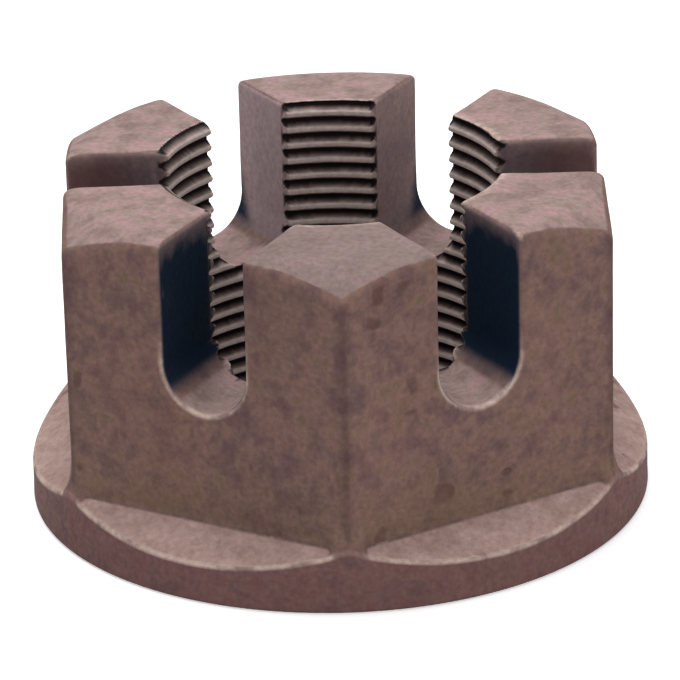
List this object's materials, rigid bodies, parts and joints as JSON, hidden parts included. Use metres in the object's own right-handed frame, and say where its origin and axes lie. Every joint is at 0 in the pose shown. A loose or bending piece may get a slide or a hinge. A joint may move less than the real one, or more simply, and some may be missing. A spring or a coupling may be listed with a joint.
{
  "type": "castle nut",
  "caption": "Slotted hexagon nut with a forged round flange, threaded right through, with a castellated crown whose slots take a split pin to lock it on its bolt.",
  "frame": {"origin": "centre of the flat bearing face under the flange, on the thread's axis", "axes": "+Z along the thread towards the castellated crown; one corner of the hexagon points along -Y, so two flats face +X and -X"},
  "size_m": [0.078, 0.078, 0.0433],
  "materials": {
    "forged_steel": "as-forged steel with a matt brown oxide skin, a little paler on the turned crown and on worn edges"
  },
  "bodies": {
    "root": {"castle_nut": "forged_steel"}
  },
  "joints": []
}
